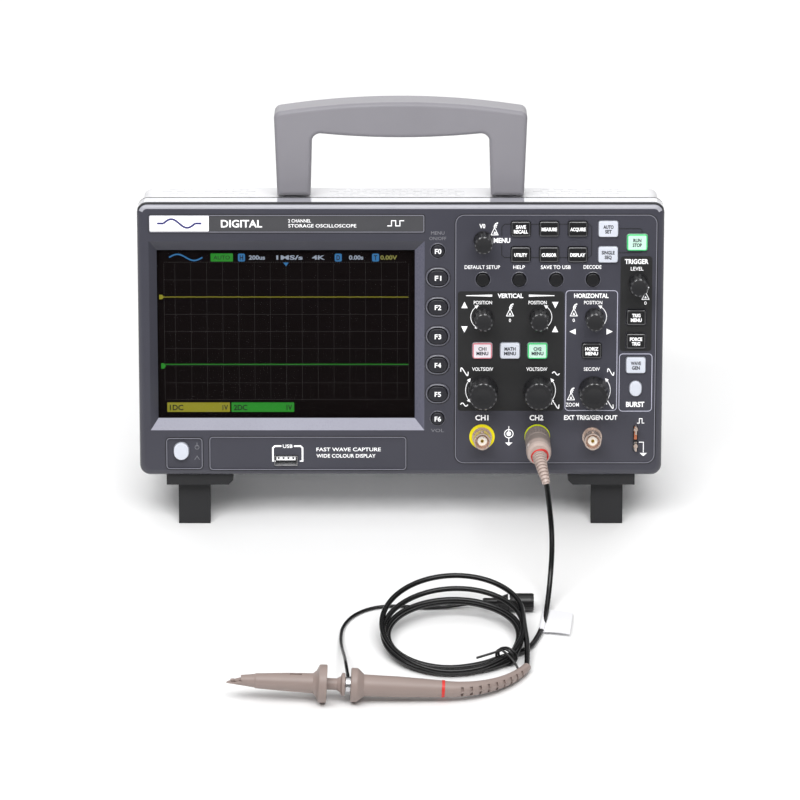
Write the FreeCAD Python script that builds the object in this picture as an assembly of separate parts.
import FreeCAD, Part

import math
import os

from FreeCAD import Vector

# A bench oscilloscope with a carrying handle, two flip-out front legs and one probe on its second input.
# Millimetres. The instrument is drawn in its own body frame: x to the right, y from the front face to the
# rear, z up from the bottom edge of the face. stand() then leans it back on its legs, so that z = 0 is the
# table. The probe, its cable and its ground lead lie on the table and are drawn in the table frame.

# ---- instrument, driving sizes ----
FACE_W = 300.0
FACE_H = 160.0
FACE_CORNER = 6.0
BEZEL_DEPTH = 17.0
FACE_EDGE_R = 3.6
DEPTH = 111.0
WALL = 2.5
FRONT_WALL = 3.5
CASE_WALL = 3.5
CASE_INSET = 1.0
CASE_START = 17.6
CASE_CORNER = 10.0
CASE_FLAT_TOP_END = 48.0
CASE_REAR_TOP = 134.0

# ---- stance on the table ----
TILT = 14.0
FOOT_H = 8.0
REAR_CONTACT_Y = 104.0
ORIGIN_Y = 66.19

# ---- display ----
SCREEN_CUT = (-143.4, 13.6, 27.0, 138.1)
SCREEN_WINDOW = (-139.1, 8.1, 33.0, 131.8)
FUNNEL_DEPTH = 5.0
GLASS_LIP = 2.0
GLASS_T = 1.4
LCD_T = 6.2

# ---- keys: name, x, z, outline ----
KEY_SIZES = {
    "soft_oval": (11.0, 8.8, 4.3),
    "soft_round": (7.2, 7.2, 3.59),
    "menu": (10.8, 8.6, 1.2),
    "lit": (11.0, 9.1, 1.2),
    "run": (11.5, 9.4, 1.2),
    "round": (7.4, 7.4, 3.69),
    "burst": (6.8, 8.8, 3.39),
    "power": (8.4, 10.0, 4.19),
}
KEY_GAP = 0.4
KEY_PROUD = 1.6
KEYS = [
    ("key_f0", 21.2, 132.5, "soft_round"), ("key_f1", 21.2, 116.9, "soft_oval"),
    ("key_f2", 21.2, 99.7, "soft_oval"), ("key_f3", 21.2, 82.6, "soft_oval"),
    ("key_f4", 21.2, 65.8, "soft_oval"), ("key_f5", 21.2, 48.7, "soft_oval"),
    ("key_f6", 21.2, 34.1, "soft_round"),
    ("key_save_recall", 68.3, 145.3, "menu"), ("key_measure", 84.4, 145.3, "menu"),
    ("key_acquire", 100.7, 145.3, "menu"), ("key_utility", 68.3, 130.4, "menu"),
    ("key_cursor", 84.4, 130.4, "menu"), ("key_display", 100.7, 130.4, "menu"),
    ("key_auto_set", 118.0, 145.3, "lit"), ("key_single", 118.0, 130.4, "lit"),
    ("key_run_stop", 134.5, 137.5, "run"),
    ("key_default_setup", 46.8, 115.7, "round"), ("key_help", 67.6, 115.7, "round"),
    ("key_save_usb", 88.6, 115.7, "round"), ("key_decode", 109.5, 115.7, "round"),
    ("key_ch1_menu", 46.7, 74.1, "lit"), ("key_math_menu", 62.5, 74.1, "lit"),
    ("key_ch2_menu", 78.2, 74.1, "lit"), ("key_horiz_menu", 109.2, 74.1, "menu"),
    ("key_trig_menu", 134.4, 93.7, "menu"), ("key_force_trig", 134.4, 79.8, "menu"),
    ("key_wave_gen", 134.5, 65.6, "lit"), ("key_burst", 134.5, 51.8, "burst"),
    ("power_button", -126.0, 14.6, "power"),
]

# ---- rotary knobs: name, x, z, radius, length ----
SMALL_KNOB = (5.5, 14.0)
LARGE_KNOB = (8.5, 15.0)
SHAFT_R = 3.0
SHAFT_HOLE_R = 3.4
SHAFT_END = 8.4
BUSH_CLEARANCE = 0.05
KNOBS = [
    ("knob_select", 46.9, 138.6, SMALL_KNOB), ("knob_ch1_position", 47.3, 93.8, SMALL_KNOB),
    ("knob_ch2_position", 79.0, 93.8, SMALL_KNOB), ("knob_horizontal_position", 110.6, 93.8, SMALL_KNOB),
    ("knob_trigger_level", 135.3, 114.0, SMALL_KNOB), ("knob_ch1_scale", 47.1, 50.6, LARGE_KNOB),
    ("knob_ch2_scale", 78.8, 50.6, LARGE_KNOB), ("knob_time_scale", 110.4, 50.6, LARGE_KNOB),
]

# ---- sockets on the face ----
BNC_X = (46.7, 78.4, 109.9)
BNC_Z = 23.2
BNC_R = 4.8
BNC_PROUD = 12.0
TERMINAL_X = 134.9
TERMINAL_Z = (27.8, 17.8)
USB_AT = (-65.9, 8.9)
USB_SIZE = (13.2, 5.8)

# ---- inside ----
POST_X = 139.0
POSTS = ((9.0, 85.0), (150.0, 47.0))
POST_R = 4.0
SCREW_GRIP = 14.0
SCREW_SEAT = 2.4
BOARD_Y = (9.0, 10.6)
MAIN_BOARD_Z = (16.0, 17.6)
INLET_AT = (-95.0, 42.0)
INLET_SIZE = (27.0, 20.0)
INLET_MOUTH = (23.0, 15.0)
INLET_FLOOR_Y = 96.0
HOST_USB_AT = (40.0, 24.5)

# ---- handle ----
HANDLE_BASE_HALF = 70.5
HANDLE_TOP_HALF = 72.3
HANDLE_GAP_BASE_HALF = 51.6
HANDLE_GAP_TOP_HALF = 50.6
HANDLE_TOP_MID = 214.4
HANDLE_TOP_END = 208.6
HANDLE_GRIP_MID = 194.0
HANDLE_GRIP_END = 196.8
HANDLE_Y = (19.0, 43.0)
HANDLE_GAP = 1.3
PIVOT_Y = 36.0
PIVOT_Z = 167.7
PIVOT_R = 2.0
TONGUE_W = 8.0

# ---- tilt legs ----
FOOT_X = (96.5, 134.8)
LEG_X = (109.95, 128.25)
LEG_Y = (10.5, 15.5)
LEG_AXIS = (13.0, -4.1)
FOOT_BASE_Z = -6.5
FOOT_BASE_Y = (4.0, 44.0)
LEG_SLOT_Y = (9.0, 42.6)

# ---- probe, along its own axis from the rear flange of its hook sleeve ----
PROBE_AT = (-42.3, -191.5, 10.6)
PROBE_SLOPE = 2.9
PROBE_BARREL_R = 3.2
PROBE_END = 66.0
BOOT_ARC_R = 50.0
BOOT_ARC = 66.0
COLLAR_END = 17.0
PLUG_BODY_END = 40.0
PLUG_BOOT = 26.0
PLUG_BOOT_DROP = 60.0
PLUG_BOOT_SIDE = 20.0

# ---- cable, ground lead and coil, on the table ----
CABLE_D = 3.0
LEAD_D = 1.9
CABLE_ROUTE = [
    (84.6, -62.0, 42.0), (85.4, -72.5, 27.5), (84.2, -82.0, 12.5), (82.4, -95.0, 3.6),
    (80.5, -110.0, 1.7), (76.5, -127.0, 1.6), (70.5, -142.0, 1.9), (61.5, -154.0, 3.0),
]
TAIL_ROUTE = [(69.2, -128.0, 9.0), (70.3, -145.0, 5.6)]
LEAD_ROUTE = [
    (-29.8, -178.0, 14.3), (-30.6, -163.0, 10.0), (-32.2, -147.0, 5.2), (-33.4, -131.0, 2.2),
    (-32.5, -115.5, 1.1), (-26.5, -102.5, 1.0), (-15.0, -94.0, 1.0), (-1.0, -92.6, 1.0),
    (13.0, -95.2, 1.0), (27.0, -94.2, 1.2),
]
COIL_AT = (29.2, -130.3)
COIL_R = 42.0
COIL_HOLE = (34.7, 28.6)
COIL_NEAR_TOP = 5.2
COIL_FAR_TOP = 22.0
COIL_FAR_BOTTOM = 5.4
CLIP_AT = (46.0, -95.5, 5.1)


# ---------------------------------------------------------------- small helpers

def box(x0, x1, y0, y1, z0, z1):
    return Part.makeBox(x1 - x0, y1 - y0, z1 - z0, Vector(x0, y0, z0))


def rod_y(x, z, r, y0, y1):
    return Part.makeCylinder(r, y1 - y0, Vector(x, y0, z), Vector(0, 1, 0))


def rod_x(x0, x1, y, z, r):
    return Part.makeCylinder(r, x1 - x0, Vector(x0, y, z), Vector(1, 0, 0))


def rounded_plate(x, z, w, h, r, y0, y1):
    """Prism along y with a rounded rectangular outline centred at x, z."""
    plate = box(x - w / 2, x + w / 2, y0, y1, z - h / 2, z + h / 2)
    edges = [e for e in plate.Edges if abs(e.tangentAt(e.FirstParameter).y) > 0.9]
    return plate.makeFillet(r, edges)


def edges_at_y(shape, y):
    """Edges that lie wholly in the plane y."""
    found = []
    for edge in shape.Edges:
        ends = edge.BoundBox
        if abs(ends.YMin - y) < 1e-3 and abs(ends.YMax - y) < 1e-3:
            found.append(edge)
    return found


def soft_front(shape, y, r):
    return shape.makeFillet(r, edges_at_y(shape, y))


def turned(profile, base, axis):
    """Solid of revolution: profile is a list of (distance along the axis, radius)."""
    points = [Vector(r, 0, a) for a, r in profile]
    face = Part.Face(Part.makePolygon(points + [points[0]]))
    solid = face.revolve(Vector(0, 0, 0), Vector(0, 0, 1), 360)
    turn = FreeCAD.Rotation(Vector(0, 0, 1), Vector(*axis))
    solid.Placement = FreeCAD.Placement(Vector(*base), turn)
    return solid


def joined(shapes):
    first = shapes[0]
    if len(shapes) == 1:
        return first
    return first.fuse(shapes[1:]).removeSplitter()


def stand(shape):
    """Lean a body-frame shape back on its legs and put it on the table."""
    moved = shape.copy()
    moved.rotate(Vector(0, 0, 0), Vector(1, 0, 0), -TILT)
    moved.translate(Vector(0, -ORIGIN_Y, stand_height()))
    return moved


def stand_height():
    lean = math.radians(TILT)
    return REAR_CONTACT_Y * math.sin(lean) + FOOT_H * math.cos(lean)


def on_table(x, y, z):
    """Body-frame point in the table frame."""
    lean = math.radians(TILT)
    return Vector(x, y * math.cos(lean) + z * math.sin(lean) - ORIGIN_Y,
                  z * math.cos(lean) - y * math.sin(lean) + stand_height())


def lying(point):
    """Table point given from the face's bottom edge, in the part's frame."""
    return Vector(point[0], point[1] - ORIGIN_Y, point[2])


# ---------------------------------------------------------------- casing

def key_outline(kind, grow, x, z, y0, y1):
    w, h, r = KEY_SIZES[kind]
    return rounded_plate(x, z, w + 2 * grow, h + 2 * grow, r + grow * 0.98, y0, y1)


def front_bezel():
    mid = FACE_H / 2
    shell = soft_front(rounded_plate(0, mid, FACE_W, FACE_H, FACE_CORNER, 0, BEZEL_DEPTH), 0, FACE_EDGE_R)
    hollow = rounded_plate(0, mid, FACE_W - 2 * WALL, FACE_H - 2 * WALL, 4, FRONT_WALL, BEZEL_DEPTH + 1)
    bezel = shell.cut(hollow)
    collar = box(-145.0, 12.6, FRONT_WALL - 0.1, 8.6, 29.5, 136.8)
    posts = [rod_y(x, z, POST_R, FRONT_WALL - 0.1, end) for x, z, end in post_places()]
    bezel = joined([bezel, collar] + posts)
    return bezel.cut(bezel_cuts())


def post_places():
    """Corner posts of the bezel: x, z and rear end; the upper pair stops short of the sloping top."""
    return [(s * POST_X, z, end) for s in (-1, 1) for z, end in POSTS]


def screen_funnel():
    """Space in front of the glass: it narrows from the cut in the face to the window."""
    rings = []
    for (x0, x1, z0, z1), y in ((SCREEN_CUT, 0.0), (SCREEN_WINDOW, FUNNEL_DEPTH)):
        corners = [Vector(x0, y, z0), Vector(x1, y, z0), Vector(x1, y, z1), Vector(x0, y, z1)]
        rings.append(Part.makePolygon(corners + [corners[0]]))
    return Part.makeLoft(rings, True, True)


def bezel_cuts():
    x0, x1, z0, z1 = SCREEN_WINDOW
    lip = GLASS_LIP
    cuts = [
        screen_funnel(),
        box(x0, x1, FUNNEL_DEPTH - 0.1, 9, z0, z1),
        box(x0 - lip, x1 + lip, FUNNEL_DEPTH + 0.6, 9, z0 - lip, z1 + lip),
        rounded_plate(-64.8, 148.2, 156.4, 10.1, 1.0, -1, 0.6),
        rounded_plate(-124.2, 13.1, 20.7, 18.3, 2.0, -1, 1.0),
        rounded_plate(-53.3, 13.2, 113.0, 19.6, 2.0, -1, 0.6),
        outline_groove(88.5, 80.4, 114.6, 145.9, 5.0),
    ]
    for name, x, z, kind in KEYS:
        cuts.append(key_outline(kind, KEY_GAP, x, z, -1, FRONT_WALL + 1))
    for name, x, z, size in KNOBS:
        cuts.append(rod_y(x, z, SHAFT_HOLE_R, -1, FRONT_WALL + 1))
    for x in BNC_X:
        cuts.append(rod_y(x, BNC_Z, BNC_R + 0.1, -1, FRONT_WALL + 1))
    for z in TERMINAL_Z:
        cuts.append(rod_y(TERMINAL_X, z, 1.5, -1, FRONT_WALL + 1))
    ux, uz = USB_AT
    cuts.append(box(ux - USB_SIZE[0] / 2 - 0.2, ux + USB_SIZE[0] / 2 + 0.2, -1, FRONT_WALL + 1,
                    uz - USB_SIZE[1] / 2 - 0.2, uz + USB_SIZE[1] / 2 + 0.2))
    for x, z, end in post_places():
        cuts.append(rod_y(x, z, 1.55, end - SCREW_GRIP - 2, end + 1))
    return cuts


def outline_groove(x, z, w, h, r):
    """Fine groove that frames the control area."""
    outer = rounded_plate(x, z, w, h, r, -1, 0.4)
    return outer.cut(rounded_plate(x, z, w - 1.4, h - 1.4, r - 0.7, -2, 1))


def case_block(inset, y0, y1):
    """Outer form of the rear case drawn inwards by inset: level top in front, sloping top behind."""
    bottom = CASE_INSET
    top = FACE_H - CASE_INSET
    mid = (bottom + top) / 2
    corner = CASE_CORNER - inset if inset < CASE_CORNER - 2 else 2.0
    width = FACE_W - 2 * CASE_INSET - 2 * inset
    prism = rounded_plate(0, mid, width, top - bottom - 2 * inset, corner, y0, y1)
    side = [Vector(-200, y0 - 5, bottom - 9), Vector(-200, DEPTH + 40, bottom - 9),
            Vector(-200, DEPTH + 40, CASE_REAR_TOP - inset - 40 * case_slope()),
            Vector(-200, CASE_FLAT_TOP_END, top - inset), Vector(-200, y0 - 5, top - inset)]
    profile = Part.Face(Part.makePolygon(side + [side[0]])).extrude(Vector(400, 0, 0))
    return prism.common(profile)


def case_slope():
    return (FACE_H - CASE_INSET - CASE_REAR_TOP) / (DEPTH - CASE_FLAT_TOP_END)


def rear_case():
    shell = case_block(0, CASE_START, DEPTH)
    shell = shell.makeFillet(4.0, edges_at_y(shell, DEPTH))
    lip = case_block(1.7, CASE_START - 5.4, CASE_START + 0.2)
    shell = joined([shell, lip])
    shell = shell.cut(case_block(CASE_WALL, CASE_START - 9, DEPTH - CASE_WALL))
    outer = case_block(0.4, CASE_START, DEPTH - 1)
    tubes = [rod_y(x, z, 4.6, end + 0.3, DEPTH - 1.5).common(outer) for x, z, end in post_places()]
    tongues = [handle_tongue(s) for s in (-1, 1)]
    shell = joined([shell] + tubes + tongues)
    return shell.cut(case_cuts())


def handle_tongue(side):
    """Lug on the case top that carries one handle leg."""
    x = side * (HANDLE_BASE_HALF + HANDLE_GAP_BASE_HALF) / 2
    half = TONGUE_W / 2
    top = FACE_H - CASE_INSET
    root = box(x - half, x + half, PIVOT_Y - 5, PIVOT_Y + 5, top - 2, PIVOT_Z)
    eye = rod_x(x - half, x + half, PIVOT_Y, PIVOT_Z, 5.0)
    return root.fuse(eye).cut(rod_x(x - half - 1, x + half + 1, PIVOT_Y, PIVOT_Z, PIVOT_R + 0.05))


def slot_rows(x0, x1, rows, pitch, length, width, place):
    """Rows of short slots, every second row shifted by half a pitch."""
    slots = []
    for row in range(rows):
        count = int((x1 - x0 - length) / pitch)
        start = x0 + (pitch / 2 if row % 2 else 0)
        for i in range(count + (0 if row % 2 else 1)):
            slots.append(place(start + i * pitch, row, length, width))
    return slots


def top_slot(x, row, length, width):
    y = 27.0 + row * 4.8
    return box(x, x + length, y, y + width, FACE_H - 8, FACE_H + 1)


def rear_slot(x, row, length, width):
    z = 62.0 + row * 5.0
    return box(x, x + length, DEPTH - 6, DEPTH + 1, z, z + width)


def side_slots():
    cuts = []
    for i in range(9):
        y = 34.0 + i * 7.0
        cuts.append(box(-FACE_W, FACE_W, y, y + 2.4, 40.0, 92.0))
    return cuts


def case_cuts():
    cuts = []
    for x0, x1 in ((-137.0, -77.0), (-41.0, 41.0), (76.0, 136.0)):
        cuts += slot_rows(x0, x1, 4, 8.0, 5.6, 1.6, top_slot)
    cuts += slot_rows(-40.0, 100.0, 8, 8.0, 5.6, 2.0, rear_slot)
    cuts += side_slots()
    w, h = INLET_SIZE
    cuts.append(box(INLET_AT[0] - w / 2 - 0.3, INLET_AT[0] + w / 2 + 0.3, DEPTH - 8, DEPTH + 2,
                    INLET_AT[1] - h / 2 - 0.3, INLET_AT[1] + h / 2 + 0.3))
    ux, uz = HOST_USB_AT
    cuts.append(box(ux - 6.3, ux + 6.3, DEPTH - 8, DEPTH + 2, MAIN_BOARD_Z[1] - 0.4, uz + 5.8))
    for x, z, end in post_places():
        cuts.append(rod_y(x, z, 1.75, end, DEPTH + 1))
        cuts.append(rod_y(x, z, 3.2, end + SCREW_SEAT, DEPTH + 1))
        cuts.append(rod_y(x, z, POST_R + 0.4, CASE_START - 9, end + 0.3))
    return cuts


def case_screws():
    """Four screws that hold the rear case to the posts of the bezel."""
    screws = []
    for x, z, end in post_places():
        head_y = end + SCREW_SEAT
        shank = rod_y(x, z, 1.5, end - SCREW_GRIP, head_y + 0.5)
        head = rod_y(x, z, 2.9, head_y, head_y + 2.4)
        cross = [box(x - 1.7, x + 1.7, head_y + 1.2, head_y + 3, z - 0.35, z + 0.35),
                 box(x - 0.35, x + 0.35, head_y + 1.2, head_y + 3, z - 1.7, z + 1.7)]
        screws.append(shank.fuse(head).cut(cross))
    return Part.makeCompound(screws)


# ---------------------------------------------------------------- display

def display_window():
    x0, x1, z0, z1 = SCREEN_WINDOW
    lip = GLASS_LIP - 0.2
    y0 = FUNNEL_DEPTH + 0.7
    return box(x0 - lip, x1 + lip, y0, y0 + GLASS_T, z0 - lip, z1 + lip)


def lcd_module():
    x0, x1, z0, z1 = SCREEN_WINDOW
    y0 = FUNNEL_DEPTH + 0.7 + GLASS_T + 0.15
    panel = box(x0 - 1.6, x1 + 1.6, y0, y0 + LCD_T, z0 - 1.6, z1 + 1.6)
    driver = box(x0 + 20, x1 - 20, y0 + LCD_T, y0 + LCD_T + 1.6, z0 + 4, z0 + 34)
    return joined([panel, driver])


# ---------------------------------------------------------------- keys and knobs

def key_cap(x, z, kind):
    """Cap that stands proud of the face, with its retaining flange and plunger behind the wall."""
    cap = soft_front(key_outline(kind, 0, x, z, -KEY_PROUD, FRONT_WALL + 0.2), -KEY_PROUD, 0.6)
    flange = key_outline(kind, 1.1, x, z, FRONT_WALL + 0.1, FRONT_WALL + 1.0)
    plunger = rod_y(x, z, 1.6, FRONT_WALL + 0.9, BOARD_Y[0] - 2.6)
    return joined([cap, flange, plunger])


def knob(x, z, size):
    """Fluted knob on its shaft; the grip narrows towards the front."""
    r, length = size
    front = -0.6 - length
    grip = Part.makeCone(r * 0.93, r, length, Vector(x, front, z), Vector(0, 1, 0))
    grip = grip.makeFillet(0.7, edges_at_y(grip, front))
    large = r > 7
    count = 16 if large else 11
    flute_r = 0.7 if large else 1.5
    reach = r + (0.15 if large else 0.9)
    flutes = []
    for i in range(count):
        a = 2 * math.pi * i / count
        flutes.append(rod_y(x + reach * math.cos(a), z + reach * math.sin(a), flute_r, front - 1, -3.4))
    dish = Part.makeSphere(30.0, Vector(x, front - 29.6, z))
    grip = grip.cut(flutes + [dish])
    shaft = rod_y(x, z, SHAFT_R, -1.0, SHAFT_END)
    return joined([grip, shaft])


def encoder(x, z):
    """Rotary encoder body with the bush that carries the knob's shaft."""
    body = box(x - 6, x + 6, 4.3, BOARD_Y[0] + 0.1, z - 6, z + 6)
    return body.cut(rod_y(x, z, SHAFT_R + BUSH_CLEARANCE, 4, BOARD_Y[0] + 0.05))


def control_board():
    """L-shaped board behind the face with the encoders and key switches on it."""
    y0, y1 = BOARD_Y
    right = box(15.5, 145.0, y0, y1, 5.0, 153.0)
    strip = box(-145.0, 15.6, y0, y1, 5.0, 26.0)
    parts = [right, strip]
    for name, x, z, size in KNOBS:
        parts.append(encoder(x, z))
    for name, x, z, kind in KEYS:
        parts.append(box(x - 3, x + 3, y0 - 1.5, y0 + 0.1, z - 3, z + 3))
    board = joined(parts)
    cuts = [rod_y(x, BNC_Z, BNC_R + 0.6, y0 - 1, y1 + 1) for x in BNC_X]
    cuts += [rod_y(x, z, POST_R + 0.6, y0 - 1, y1 + 1) for x, z, end in post_places()]
    cuts += [rod_y(TERMINAL_X, z, 1.3, y0 - 1, y1 + 1) for z in TERMINAL_Z]
    ux, uz = USB_AT
    cuts.append(box(ux - 8, ux + 8, y0 - 1, y1 + 1, uz - 4, uz + 4))
    return board.cut(cuts)


# ---------------------------------------------------------------- sockets

def bnc_socket(x):
    """Panel socket with bayonet lugs, insulator and centre contact."""
    z = BNC_Z
    shell = rod_y(x, z, BNC_R, -BNC_PROUD, 24.0)
    nut = rod_y(x, z, 5.7, -1.3, -0.05)
    lugs = Part.makeCylinder(0.95, 2 * (BNC_R + 0.8), Vector(x, -8.6, z - BNC_R - 0.8), Vector(0, 0, 1))
    body = joined([shell, nut, lugs])
    body = body.cut(rod_y(x, z, 4.05, -BNC_PROUD - 1, -2.5))
    core = rod_y(x, z, 2.6, -9.4, -2.4)
    return joined([body, core]).cut(rod_y(x, z, 0.62, -10, -4.0))


def test_terminal(z):
    """Small hook that a probe clips on for compensation."""
    x = TERMINAL_X
    post = rod_y(x, z, 1.2, -2.0, BOARD_Y[1])
    tab = box(x - 0.5, x + 0.5, -5.0, -1.0, z - 2.2, z + 2.2)
    return joined([post, tab]).cut(Part.makeCylinder(0.7, 4, Vector(x - 2, -3.2, z), Vector(1, 0, 0)))


def front_terminals():
    return Part.makeCompound([bnc_socket(x) for x in BNC_X] + [test_terminal(z) for z in TERMINAL_Z])


def usb_socket():
    x, z = USB_AT
    w, h = USB_SIZE
    block = box(x - w / 2, x + w / 2, -0.4, 16.0, z - h / 2, z + h / 2)
    mouth = box(x - w / 2 + 0.4, x + w / 2 - 0.4, -1.0, 10.0, z - h / 2 + 0.4, z + h / 2 - 0.4)
    tongue = box(x - 5.4, x + 5.4, 0.6, 10.2, z + 0.2, z + 1.9)
    carrier = box(x - 9, x + 9, 12.0, 34.0, z - h / 2 - 1.4, z - h / 2 + 0.1)
    return joined([block.cut(mouth), tongue, carrier])


# ---------------------------------------------------------------- electronics

def standoffs(places, z1):
    floor = CASE_INSET + CASE_WALL
    return [Part.makeCylinder(3.0, z1 - floor, Vector(x, y, floor)) for x, y in places]


def main_board():
    z0, z1 = MAIN_BOARD_Z
    parts = [box(-12, 134, 30, 104, z0, z1)]
    parts += standoffs(((-6, 36), (128, 36), (-6, 98), (128, 98)), z0 + 0.1)
    parts.append(box(36, 124, 36, 66, z1 - 0.1, z1 + 9))
    parts.append(box(8, 30, 40, 62, z1 - 0.1, z1 + 2.4))
    for i in range(6):
        parts.append(box(9 + i * 3.6, 10.6 + i * 3.6, 41, 61, z1 + 2.3, z1 + 12))
    parts.append(box(60, 78, 74, 92, z1 - 0.1, z1 + 2.2))
    ux, uz = HOST_USB_AT
    socket = box(ux - 6, ux + 6, 94, DEPTH + 0.6, z1 - 0.1, uz + 5.5)
    parts.append(socket.cut(box(ux - 4.2, ux + 4.2, 102, DEPTH + 2, uz - 4.0, uz + 3.8)))
    return joined(parts)


def power_supply():
    z0, z1 = MAIN_BOARD_Z
    parts = [box(-130, -22, 34, 88, z0, z1)]
    parts += standoffs(((-124, 40), (-28, 40), (-124, 82), (-28, 82)), z0 + 0.1)
    parts.append(box(-80, -44, 44, 78, z1 - 0.1, z1 + 30))
    parts.append(box(-42, -38, 40, 82, z1 - 0.1, z1 + 26))
    for x, y, r, h in ((-100, 50, 8, 28), (-100, 70, 8, 28), (-30, 56, 5, 16), (-30, 68, 5, 16)):
        parts.append(Part.makeCylinder(r, h, Vector(x, y, z1 - 0.1)))
    parts.append(mains_inlet())
    return joined(parts)


def mains_inlet():
    """Open inlet with three standing blades, on a bracket from the supply's board."""
    x, z = INLET_AT
    w, h = INLET_SIZE
    body = box(x - w / 2, x + w / 2, 86, DEPTH + 1.6, z - h / 2, z + h / 2)
    cx, cz = INLET_MOUTH[0] / 2, INLET_MOUTH[1] / 2
    outline = [Vector(x + s * cx, INLET_FLOOR_Y, z + v) for s, v in ((-1, -cz), (1, -cz), (1, cz - 4))]
    outline += [Vector(x + cx - 4, INLET_FLOOR_Y, z + cz), Vector(x - cx + 4, INLET_FLOOR_Y, z + cz),
                Vector(x - cx, INLET_FLOOR_Y, z + cz - 4)]
    mouth = Part.Face(Part.makePolygon(outline + [outline[0]])).extrude(Vector(0, 30, 0))
    blades = []
    for across, up in ((-7, -2.5), (0, 0.5), (7, -2.5)):
        blades.append(box(x + across - 1, x + across + 1, INLET_FLOOR_Y - 0.1, DEPTH - 3,
                          z + up - 2, z + up + 2))
    bracket = box(x - 5, x + 5, 84, 88, MAIN_BOARD_Z[0] + 0.1, z - h / 2 + 0.1)
    return joined([body.cut(mouth), bracket] + blades)


# ---------------------------------------------------------------- handle and feet

def handle():
    """Arched handle, standing upright; the eyes of the case sit in slots in its two legs."""
    y0, y1 = HANDLE_Y
    z0 = FACE_H - CASE_INSET + HANDLE_GAP
    front = outline_face(z0).extrude(Vector(0, y1 - y0, 0))
    front.translate(Vector(0, y0, 0))
    side = leg_side_profile(z0)
    bar = front.common(side)
    bar = bar.makeFillet(2.4, edges_at_y(bar, y0) + edges_at_y(bar, y1))
    cuts = []
    pins = []
    for s in (-1, 1):
        x = s * (HANDLE_BASE_HALF + HANDLE_GAP_BASE_HALF) / 2
        half = TONGUE_W / 2 + 0.3
        cuts.append(box(x - half, x + half, PIVOT_Y - 5.8, y1 + 1, z0 - 1, PIVOT_Z + 5.8))
        pins.append(rod_x(x - half - 1, x + half + 1, PIVOT_Y, PIVOT_Z, PIVOT_R))
    return joined([bar.cut(cuts)] + pins)


def outline_face(z0):
    """Front outline of the handle: arched grip between two slightly spread legs."""
    outer = [Vector(-HANDLE_BASE_HALF, 0, z0), Vector(-HANDLE_TOP_HALF, 0, HANDLE_TOP_END)]
    inner = [Vector(HANDLE_GAP_BASE_HALF, 0, z0), Vector(HANDLE_GAP_TOP_HALF, 0, HANDLE_GRIP_END)]
    top = Part.Arc(outer[1], Vector(0, 0, HANDLE_TOP_MID), mirrored(outer[1])).toShape()
    under = Part.Arc(inner[1], Vector(0, 0, HANDLE_GRIP_MID), mirrored(inner[1])).toShape()
    edges = [
        Part.makeLine(outer[0], outer[1]), top, Part.makeLine(mirrored(outer[1]), mirrored(outer[0])),
        Part.makeLine(mirrored(outer[0]), inner[0]), Part.makeLine(inner[0], inner[1]), under,
        Part.makeLine(mirrored(inner[1]), mirrored(inner[0])), Part.makeLine(mirrored(inner[0]), outer[0]),
    ]
    face = Part.Face(Part.Wire(edges))
    solid = face.extrude(Vector(0, 1, 0))
    corners = []
    for edge in solid.Edges:
        at = edge.CenterOfMass
        straight = abs(edge.tangentAt(edge.FirstParameter).y) > 0.9
        if straight and at.z > z0 + 5:
            corners.append((edge, 5.0 if abs(at.x) < HANDLE_BASE_HALF - 5 else 4.0))
    for radius in (5.0, 4.0):
        solid = solid.makeFillet(radius, matching_edges(solid, corners, radius))
    return [f for f in solid.Faces if abs(f.CenterOfMass.y) < 1e-6][0]


def matching_edges(solid, corners, radius):
    wanted = [edge.CenterOfMass for edge, r in corners if r == radius]
    return [e for e in solid.Edges if any(e.CenterOfMass.distanceToPoint(w) < 1e-4 for w in wanted)]


def mirrored(point):
    return Vector(-point.x, point.y, point.z)


def leg_side_profile(z0):
    """Side view of the handle: the rear lower corner is rounded about the pivot."""
    y0, y1 = HANDLE_Y
    r = PIVOT_Z - z0
    block = box(-120, 120, y0, y1, PIVOT_Z, HANDLE_TOP_MID + 5)
    front = box(-120, 120, y0, PIVOT_Y, z0, PIVOT_Z + 1)
    round_end = rod_x(-120, 120, PIVOT_Y, PIVOT_Z, r)
    round_end = round_end.common(box(-120, 120, PIVOT_Y - 1, y1, z0 - 1, PIVOT_Z + 1))
    return joined([block, front, round_end])


def foot_bases():
    """Two hinge bases under the front and two pads under the rear, one solid each."""
    solids = []
    for s in (-1, 1):
        solids.append(trimmed(stand(foot_base(s))))
        pad = box(105, 127, 90, 107.4, -FOOT_H, CASE_INSET)
        pad = pad if s > 0 else pad.mirror(Vector(0, 0, 0), Vector(1, 0, 0))
        solids.append(trimmed(stand(pad)))
    return Part.makeCompound(solids)


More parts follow.
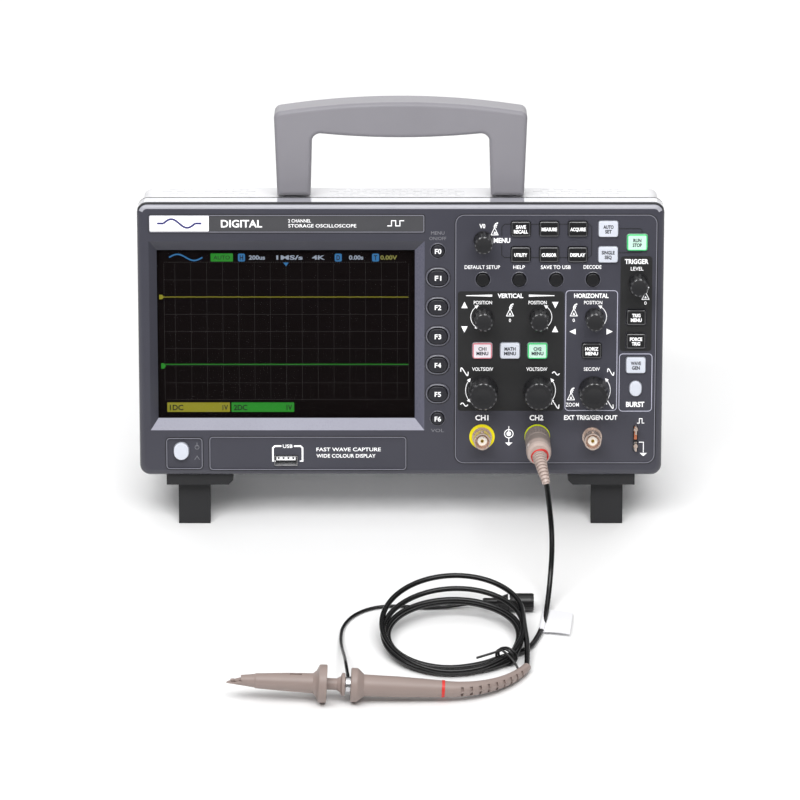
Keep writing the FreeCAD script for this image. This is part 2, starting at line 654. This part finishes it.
def foot_base(s):
    y0, y1 = FOOT_BASE_Y
    front = box(FOOT_X[0], FOOT_X[1], y0, CASE_START - 0.1, FOOT_BASE_Z, 0)
    rear = box(FOOT_X[0], FOOT_X[1], CASE_START - 0.2, y1, FOOT_BASE_Z, CASE_INSET)
    base = joined([front, rear])
    chamfer = [Vector(FOOT_X[0] - 1, y0 - 1, FOOT_BASE_Z - 1),
               Vector(FOOT_X[0] + 3.6, y0 - 1, FOOT_BASE_Z - 1),
               Vector(FOOT_X[0] - 1, y0 - 1, FOOT_BASE_Z + 3.6)]
    wedge = Part.Face(Part.makePolygon(chamfer + [chamfer[0]])).extrude(Vector(0, y1 - y0 + 2, 0))
    slot = box(LEG_X[0] - 0.3, LEG_X[1] + 0.3, LEG_SLOT_Y[0], LEG_SLOT_Y[1], FOOT_BASE_Z - 1, -1.2)
    pin_hole = rod_x(LEG_X[0] - 2.2, LEG_X[1] + 2.2, LEG_AXIS[0], LEG_AXIS[1], 1.25)
    base = base.cut([wedge, slot, pin_hole])
    return base if s > 0 else base.mirror(Vector(0, 0, 0), Vector(1, 0, 0))


def leg(s):
    """Flip-out leg with its hinge barrel and pins, trimmed flat where it meets the table."""
    y0, y1 = LEG_Y
    blade = box(LEG_X[0], LEG_X[1], y0, y1, -34.0, LEG_AXIS[1])
    barrel = rod_x(LEG_X[0], LEG_X[1], LEG_AXIS[0], LEG_AXIS[1], 2.55)
    pins = rod_x(LEG_X[0] - 1.9, LEG_X[1] + 1.9, LEG_AXIS[0], LEG_AXIS[1], 1.18)
    shape = joined([blade, barrel, pins])
    if s < 0:
        shape = shape.mirror(Vector(0, 0, 0), Vector(1, 0, 0))
    return trimmed(stand(shape))


def trimmed(shape):
    """Flat on the table: whatever would reach below it is cut off."""
    return shape.cut(box(-400, 400, -400, 400, -60, 0))


# ---------------------------------------------------------------- probe plug on the second input

def lock_collar():
    """Ribbed bayonet collar, free to make its quarter turn round the socket."""
    x, z = BNC_X[1], BNC_Z
    ring = rod_y(x, z, 7.1, -COLLAR_END, -2.3)
    ring = ring.makeFillet(0.6, edges_at_y(ring, -COLLAR_END) + edges_at_y(ring, -2.3))
    ring = ring.cut(rod_y(x, z, 5.9, -COLLAR_END - 1, -1))
    grooves = []
    for i in range(24):
        a = 2 * math.pi * i / 24
        grooves.append(rod_y(x + 7.35 * math.cos(a), z + 7.35 * math.sin(a), 0.5, -15.4, -7.4))
    return stand(ring.cut(grooves))


def boot_frames():
    """Centre and direction along the plug's bent boot, in the part's frame."""
    start = on_table(BNC_X[1], -PLUG_BODY_END, BNC_Z)
    ahead = on_table(BNC_X[1], -PLUG_BODY_END - 1, BNC_Z).sub(start)
    steps = 13
    frames = []
    at = Vector(start)
    for i in range(steps + 1):
        share = i / steps
        turn = FreeCAD.Rotation(Vector(1, 0, 0), PLUG_BOOT_DROP * share)
        side = FreeCAD.Rotation(Vector(0, 0, 1), PLUG_BOOT_SIDE * share)
        direction = side.multVec(turn.multVec(ahead))
        frames.append((Vector(at), direction))
        at = at.add(direction.multiply(PLUG_BOOT / steps))
        frames[-1][1].normalize()
    return frames


def probe_plug():
    """Plug body with its contact sleeve, pin and ribbed bent boot."""
    x, z = BNC_X[1], BNC_Z
    base = (x, 0, z)
    rear = COLLAR_END + 0.4
    body = turned([(rear, 0), (rear, 6.7), (rear + 1.2, 6.9), (29.4, 6.8), (29.8, 7.2), (36.5, 7.0),
                   (38.8, 6.3), (PLUG_BODY_END, 5.2), (PLUG_BODY_END, 0)], base, (0, -1, 0))
    neck = turned([(12.5, 4.2), (12.5, 5.82), (rear + 0.2, 5.82), (rear + 0.2, 4.2)], base, (0, -1, 0))
    sleeve = turned([(4.4, 2.9), (4.4, 3.9), (rear + 0.2, 3.9), (rear + 0.2, 2.9)], base, (0, -1, 0))
    pin = turned([(5.0, 0), (5.0, 0.45), (rear + 0.2, 0.45), (rear + 0.2, 0)], base, (0, -1, 0))
    shapes = [stand(joined([body, neck, sleeve, pin]))]
    frames = boot_frames()
    for i in range(len(frames) - 1):
        at, direction = frames[i]
        reach = frames[i + 1][0].sub(at).Length
        r = 4.4 - 2.0 * i / (len(frames) - 2)
        back = at.sub(direction * 0.3)
        shapes.append(Part.makeCylinder(r - 0.7, reach + 0.6, back, direction))
        shapes.append(Part.makeCylinder(r, reach * 0.6, at, direction))
    return joined(shapes)


def boot_end():
    """Point where the cable leaves the plug's boot."""
    at, direction = boot_frames()[-1]
    return at


# ---------------------------------------------------------------- cable, lead and coil

def tube_along(points, d, label):
    """Round tube on straight runs joined by tangent arcs as large as the runs allow."""
    edges = []
    radii = []
    start = points[0]
    for i in range(1, len(points) - 1):
        before = points[i].sub(points[i - 1])
        after = points[i + 1].sub(points[i])
        turn = before.getAngle(after)
        reach = 0.45 * min(before.Length, after.Length)
        radii.append(reach / math.tan(turn / 2))
        before.normalize()
        after.normalize()
        first = points[i].sub(before * reach)
        last = points[i].add(after * reach)
        bend = after.sub(before)
        bend.normalize()
        half = math.pi / 2 - turn / 2
        centre = points[i].add(bend * (radii[-1] / math.sin(half)))
        middle = centre.sub(bend * radii[-1])
        edges.append(Part.makeLine(start, first))
        edges.append(Part.Arc(first, middle, last).toShape())
        start = last
    edges.append(Part.makeLine(start, points[-1]))
    path = Part.Wire(edges)
    ahead = points[1].sub(points[0])
    ring = Part.Wire(Part.makeCircle(d / 2, points[0], ahead))
    tube = path.makePipeShell([ring], True, False)
    expected = math.pi * d * d / 4 * path.Length
    print(label, "length", round(path.Length, 1), "radii", [round(r, 1) for r in radii],
          "volume ratio", round(tube.Volume / expected, 4))
    return tube


def probe_cable():
    """The two uncoiled stretches: from the plug to the tie, and from the last loop into the probe."""
    first = [boot_end()] + [lying(p) for p in CABLE_ROUTE]
    last = [lying(p) for p in TAIL_ROUTE] + [probe_boot_end()]
    return Part.makeCompound([tube_along(first, CABLE_D, "cable"), tube_along(last, CABLE_D, "cable tail")])


def probe_coil():
    """Outer shape of the loose coil: a ring whose far side stands off the table."""
    near = COIL_AT[1] - COIL_R
    ring = Part.makeCylinder(COIL_R, 60, lying((COIL_AT[0], COIL_AT[1], -20)))
    hole = Part.Ellipse(lying((COIL_AT[0], COIL_AT[1] - 1.0, -21)), COIL_HOLE[0], COIL_HOLE[1])
    hole = Part.Face(Part.Wire(hole.toShape())).extrude(Vector(0, 0, 62))
    profile = [lying((-40, near, 0.05)), lying((-40, near + 2 * COIL_R, COIL_FAR_BOTTOM)),
               lying((-40, near + 2 * COIL_R, COIL_FAR_TOP)), lying((-40, near, COIL_NEAR_TOP))]
    wedge = Part.Face(Part.makePolygon(profile + [profile[0]])).extrude(Vector(140, 0, 0))
    return ring.cut(hole).common(wedge)


def ground_lead():
    start = probe_point(13.8, 0, 3.7)
    route = [start] + [lying(p) for p in LEAD_ROUTE] + [lying((CLIP_AT[0] - 8, CLIP_AT[1] + 1.6, 3.0)),
                                                       lying(CLIP_AT)]
    return tube_along(route, LEAD_D, "ground lead")


# ---------------------------------------------------------------- probe

def probe_placement():
    turn = FreeCAD.Rotation(Vector(0, 1, 0), PROBE_SLOPE)
    return FreeCAD.Placement(lying(PROBE_AT), turn)


def probe_point(along, side, up):
    """Point given along the probe, to its side and above its axis, in the part's frame."""
    return probe_placement().multVec(Vector(along, side, up))


def on_probe(shape):
    moved = shape.copy()
    moved.Placement = probe_placement().multiply(moved.Placement)
    return moved


def hook_sleeve():
    """Sprung sleeve over the probe's hook, with the finger flange at its rear."""
    outside = [(-52.4, 1.9), (-37.2, 3.7), (-36.4, 4.1), (-20.0, 5.0), (-5.4, 5.5), (-3.6, 7.0),
               (-2.0, 10.2), (-0.6, 10.4), (2.0, 10.4), (2.2, 10.0), (2.2, 3.29)]
    bore = [(-34.0, 3.29), (-34.0, 1.0), (-52.4, 1.0)]
    sleeve = turned(outside + bore, (0, 0, 0), (1, 0, 0))
    beak = box(-56, -44.5, -10, 10, 0.2, 9)
    beak.rotate(Vector(-44.5, 0, 2.4), Vector(0, 1, 0), -14)
    window = box(-18.0, -11.6, -0.9, 0.9, 4.4, 7)
    return on_probe(sleeve.cut([beak, window]))


def boot_path(share):
    """Centre, direction and radius on the bent boot of the probe, from its start to its end."""
    start = probe_point(PROBE_END, 0, 0)
    angle = math.radians(BOOT_ARC * share)
    drop = (start.z - 3.0) * share
    at = Vector(start.x + BOOT_ARC_R * math.sin(angle), start.y + BOOT_ARC_R * (1 - math.cos(angle)),
                start.z - drop)
    direction = Vector(math.cos(angle), math.sin(angle), -0.05)
    direction.normalize()
    return at, direction, 4.4 - 2.0 * share


def probe_boot_end():
    return boot_path(1.0)[0]


def probe_body():
    """Barrel, hook, flanges and body on one axis, then the slotted boot bent towards the coil."""
    core = turned([(-50.2, 0), (-50.2, 0.5), (-49.0, 0.8), (-29.0, 0.8), (-28.4, 2.4),
                   (-27.0, PROBE_BARREL_R), (7.6, PROBE_BARREL_R), (9.6, 4.4), (10.4, 6.3), (12.0, 6.3),
                   (12.3, 4.1), (15.2, 4.1), (15.2, 8.8), (15.8, 9.3), (18.6, 9.3), (19.6, 8.6), (22.4, 6.0),
                   (40.0, 5.7), (56.0, 5.0), (PROBE_END, 4.5), (PROBE_END, 0)], (0, 0, 0), (1, 0, 0))
    hook_notch = box(-48.0, -45.5, -1, 1, -0.2, 1.5)
    shapes = [on_probe(core.cut(hook_notch))]
    sections = []
    steps = 9
    for i in range(steps + 1):
        at, direction, r = boot_path(i / steps)
        sections.append(Part.Wire(Part.makeCircle(r, at, direction)))
    boot = Part.makeLoft(sections, True, False)
    boot = boot.cut(boot_slots())
    joint_ball = Part.makeSphere(4.45, probe_point(PROBE_END, 0, 0))
    return joined(shapes + [boot, joint_ball])


def boot_slots():
    """Two rows of short slots that make the boot flexible."""
    slots = []
    for i in range(9):
        at, direction, r = boot_path(0.16 + 0.085 * i)
        turn = FreeCAD.Rotation(Vector(1, 0, 0), direction)
        for lift in (-22, 28):
            slot = Part.makeBox(1.5, 6, 2.3, Vector(-0.75, -r - 4.9, -1.15))
            slot.rotate(Vector(0, 0, 0), Vector(1, 0, 0), -lift)
            slot.Placement = FreeCAD.Placement(at, turn).multiply(slot.Placement)
            slots.append(slot)
    return slots


# ---------------------------------------------------------------- ground clip

def clip_box(x0, x1, y0, y1, z0, z1):
    at = lying(CLIP_AT)
    return box(at.x + x0, at.x + x1, at.y + y0, at.y + y1, at.z + z0, at.z + z1)


def clip_shell():
    """Boot of the clip over its jaws, hollow and open at the front."""
    return turned([(15.0, 4.2), (15.0, 4.6), (16.0, 4.95), (27.0, 5.0), (28.6, 4.7), (28.6, 3.9)],
                  tuple(lying(CLIP_AT)), (1, 0, 0))


def ground_clip():
    """Fixed half of the clip: tail with the lead's crimp, lower jaw and the pivot pin."""
    at = lying(CLIP_AT)
    tail = turned([(0, 0), (0, 1.9), (0.8, 2.3), (8.0, 2.5), (13.6, 4.6), (14.2, 4.6), (14.2, 0)],
                  tuple(at), (1, 0, 0))
    shell = clip_shell().common(clip_box(14, 30, -6, 6, -6, -0.15))
    shell = shell.cut(clip_box(14.9, 16.9, -6, 6, -1.1, 0))
    jaw = clip_box(13.9, 27.6, -2.6, 2.6, -2.0, -1.2)
    floor_web = clip_box(14.0, 20.0, -2.0, 2.0, -4.4, -1.9)
    ears = [clip_box(15.4, 18.0, s * 3.0 - 0.4, s * 3.0 + 0.4, -4.0, 1.0) for s in (-1, 1)]
    pin = Part.makeCylinder(0.7, 6.6, Vector(at.x + 16.7, at.y - 3.3, at.z), Vector(0, 1, 0))
    return joined([tail, shell, jaw, floor_web, pin] + ears)


def clip_jaw():
    """Moving half of the clip, on the pivot pin."""
    at = lying(CLIP_AT)
    shell = clip_shell().common(clip_box(15.2, 30, -6, 6, 0.15, 6))
    jaw = clip_box(17.6, 27.6, -2.2, 2.2, -0.9, -0.2)
    web = clip_box(15.6, 18.4, -2.2, 2.2, -0.9, 4.3)
    front_web = clip_box(21.0, 23.0, -1.0, 1.0, -0.3, 4.3)
    hole = Part.makeCylinder(0.75, 8, Vector(at.x + 16.7, at.y - 4, at.z), Vector(0, 1, 0))
    ear_room = [clip_box(15.0, 18.6, s * 3.0 - 0.7, s * 3.0 + 0.7, -0.2, 1.6) for s in (-1, 1)]
    heel_room = clip_box(15.0, 16.3, -3, 3, -1.0, -0.74)
    side = [Vector(at.x + 14.9, at.y - 6, at.z + 1.6), Vector(at.x + 14.9, at.y - 6, at.z + 6),
            Vector(at.x + 16.9, at.y - 6, at.z + 6)]
    tail_room = Part.Face(Part.makePolygon(side + [side[0]])).extrude(Vector(0, 12, 0))
    return joined([shell, jaw, web, front_web]).cut([hole, heel_room, tail_room] + ear_room)


# ---------------------------------------------------------------- all nodes

def build():
    nodes = {
        "front_bezel": stand(front_bezel()),
        "rear_case": stand(rear_case()),
        "case_screws": stand(case_screws()),
        "display_window": stand(display_window()),
        "lcd_module": stand(lcd_module()),
        "control_board": stand(control_board()),
        "main_board": stand(main_board()),
        "power_supply": stand(power_supply()),
        "front_terminals": stand(front_terminals()),
        "usb_socket": stand(usb_socket()),
        "foot_bases": foot_bases(),
        "handle": stand(handle()),
        "leg_left": leg(-1),
        "leg_right": leg(1),
        "probe_lock_collar": lock_collar(),
        "probe_plug": probe_plug(),
        "probe_cable": probe_cable(),
        "probe_coil": probe_coil(),
        "probe_body": probe_body(),
        "probe_hook_sleeve": hook_sleeve(),
        "ground_lead": ground_lead(),
        "ground_clip": ground_clip(),
        "clip_jaw": clip_jaw(),
    }
    for name, x, z, kind in KEYS:
        nodes[name] = stand(key_cap(x, z, kind))
    for name, x, z, size in KNOBS:
        nodes[name] = stand(knob(x, z, size))
    return nodes


def main():
    os.makedirs("parts", exist_ok=True)
    nodes = build()
    for name, shape in nodes.items():
        shape.exportStep("parts/" + name + ".step")
        if not shape.isValid() or not shape.Solids:
            print("check", name, "valid", shape.isValid(), "solids", len(shape.Solids))
    on_instrument = [s for n, s in nodes.items() if not n.startswith(("probe", "ground", "clip"))]
    span = Part.makeCompound(on_instrument).optimalBoundingBox(False)
    print(len(nodes), "nodes, middle of the instrument at y", round((span.YMin + span.YMax) / 2, 2),
          "size", round(span.XLength, 1), round(span.YLength, 1), round(span.ZLength, 1))


main()
